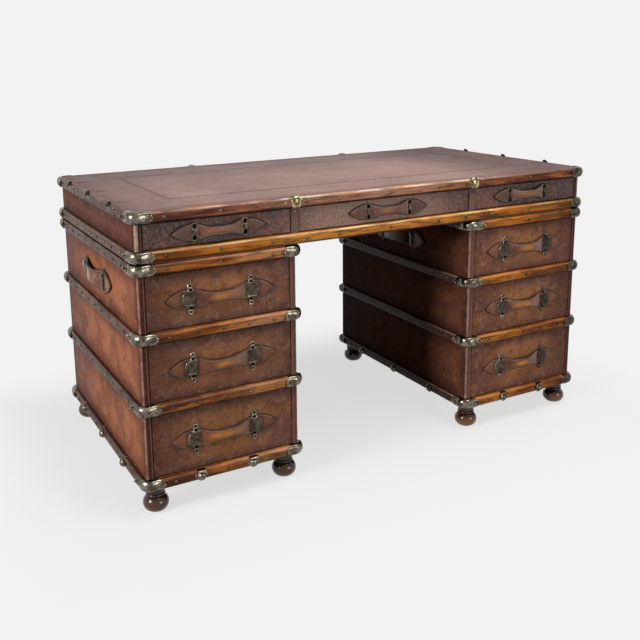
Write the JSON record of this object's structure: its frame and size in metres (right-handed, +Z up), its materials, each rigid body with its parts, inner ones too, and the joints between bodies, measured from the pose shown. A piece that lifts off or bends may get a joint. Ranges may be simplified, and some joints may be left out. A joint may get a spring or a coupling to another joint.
{
  "type": "campaign desk",
  "caption": "Pedestal desk built like travelling trunks: leather over wood, wooden slats, metal corners, strap pulls and a lift-off drawer case.",
  "frame": {"origin": "on the floor under the middle of the desk", "axes": "+X along the width to the sitter's right, +Y to the back, +Z up; the drawers open towards -Y"},
  "size_m": [1.4908, 0.7598, 0.7855],
  "materials": {
    "carcass_wood": "oiled hardwood",
    "body_leather": "waxed leather, worn",
    "drawer_leather": "waxed leather over a board, mottled",
    "top_drawer_leather": "dark grained leather over a board",
    "writing_leather": "worn brown leather with a blind-tooled border",
    "strap_leather": "stitched strap leather",
    "rail_wood": "varnished hardwood",
    "turned_wood": "dark polished hardwood",
    "aged_brass": "aged, speckled",
    "bright_brass": "worn bright",
    "nail_brass": "aged",
    "keeper_metal": "dark patina"
  },
  "bodies": {
    "left_pedestal": {"left_pedestal_carcass": "carcass_wood", "left_pedestal_leather": "body_leather", "left_pedestal_rails": "rail_wood", "left_pedestal_metalwork": "aged_brass", "left_pedestal_nails": "nail_brass", "left_pedestal_feet": "turned_wood", "left_pedestal_carry_handles": "strap_leather", "left_pedestal_carry_keepers": "keeper_metal"},
    "right_pedestal": {"right_pedestal_carcass": "carcass_wood", "right_pedestal_leather": "body_leather", "right_pedestal_rails": "rail_wood", "right_pedestal_metalwork": "aged_brass", "right_pedestal_nails": "nail_brass", "right_pedestal_feet": "turned_wood", "right_pedestal_carry_handles": "strap_leather", "right_pedestal_carry_keepers": "keeper_metal"},
    "top_case": {"top_case_carcass": "carcass_wood", "writing_panel": "carcass_wood", "writing_leather": "writing_leather", "top_case_leather": "body_leather", "top_case_rails": "rail_wood", "top_case_metalwork": "aged_brass", "brass_clasps": "bright_brass", "top_case_nails": "nail_brass"},
    "left_upper_drawer": {"left_upper_drawer_front": "drawer_leather", "left_upper_drawer_box": "carcass_wood", "left_upper_drawer_pull": "strap_leather", "left_upper_drawer_keepers": "keeper_metal"},
    "left_middle_drawer": {"left_middle_drawer_front": "drawer_leather", "left_middle_drawer_box": "carcass_wood", "left_middle_drawer_pull": "strap_leather", "left_middle_drawer_keepers": "keeper_metal"},
    "left_lower_drawer": {"left_lower_drawer_front": "drawer_leather", "left_lower_drawer_box": "carcass_wood", "left_lower_drawer_pull": "strap_leather", "left_lower_drawer_keepers": "keeper_metal"},
    "right_upper_drawer": {"right_upper_drawer_front": "drawer_leather", "right_upper_drawer_box": "carcass_wood", "right_upper_drawer_pull": "strap_leather", "right_upper_drawer_keepers": "keeper_metal"},
    "right_middle_drawer": {"right_middle_drawer_front": "drawer_leather", "right_middle_drawer_box": "carcass_wood", "right_middle_drawer_pull": "strap_leather", "right_middle_drawer_keepers": "keeper_metal"},
    "right_lower_drawer": {"right_lower_drawer_front": "drawer_leather", "right_lower_drawer_box": "carcass_wood", "right_lower_drawer_pull": "strap_leather", "right_lower_drawer_keepers": "keeper_metal"},
    "top_left_drawer": {"top_left_drawer_front": "top_drawer_leather", "top_left_drawer_box": "carcass_wood", "top_left_drawer_pull": "strap_leather", "top_left_drawer_keepers": "keeper_metal"},
    "top_centre_drawer": {"top_centre_drawer_front": "top_drawer_leather", "top_centre_drawer_box": "carcass_wood", "top_centre_drawer_pull": "strap_leather", "top_centre_drawer_keepers": "keeper_metal"},
    "top_right_drawer": {"top_right_drawer_front": "top_drawer_leather", "top_right_drawer_box": "carcass_wood", "top_right_drawer_pull": "strap_leather", "top_right_drawer_keepers": "keeper_metal"}
  },
  "joints": [
    {"name": "top_case_lift", "type": "slide", "parent": "left_pedestal", "child": "top_case", "axis": [0, 0, 1], "range_m": [0, 0.12]},
    {"name": "right_pedestal_stand", "type": "slide", "parent": "top_case", "child": "right_pedestal", "axis": [0, 0, -1], "range_m": [0, 0.12]},
    {"name": "left_upper_drawer_slide", "type": "slide", "parent": "left_pedestal", "child": "left_upper_drawer", "axis": [0, -1, 0], "range_m": [0, 0.45]},
    {"name": "left_middle_drawer_slide", "type": "slide", "parent": "left_pedestal", "child": "left_middle_drawer", "axis": [0, -1, 0], "range_m": [0, 0.45]},
    {"name": "left_lower_drawer_slide", "type": "slide", "parent": "left_pedestal", "child": "left_lower_drawer", "axis": [0, -1, 0], "range_m": [0, 0.45]},
    {"name": "right_upper_drawer_slide", "type": "slide", "parent": "right_pedestal", "child": "right_upper_drawer", "axis": [0, -1, 0], "range_m": [0, 0.45]},
    {"name": "right_middle_drawer_slide", "type": "slide", "parent": "right_pedestal", "child": "right_middle_drawer", "axis": [0, -1, 0], "range_m": [0, 0.45]},
    {"name": "right_lower_drawer_slide", "type": "slide", "parent": "right_pedestal", "child": "right_lower_drawer", "axis": [0, -1, 0], "range_m": [0, 0.45]},
    {"name": "top_left_drawer_slide", "type": "slide", "parent": "top_case", "child": "top_left_drawer", "axis": [0, -1, 0], "range_m": [0, 0.45]},
    {"name": "top_centre_drawer_slide", "type": "slide", "parent": "top_case", "child": "top_centre_drawer", "axis": [0, -1, 0], "range_m": [0, 0.45]},
    {"name": "top_right_drawer_slide", "type": "slide", "parent": "top_case", "child": "top_right_drawer", "axis": [0, -1, 0], "range_m": [0, 0.45]}
  ],
  "couplings": [
    {"joint": "right_pedestal_stand", "follows": "top_case_lift", "ratio": 1}
  ]
}
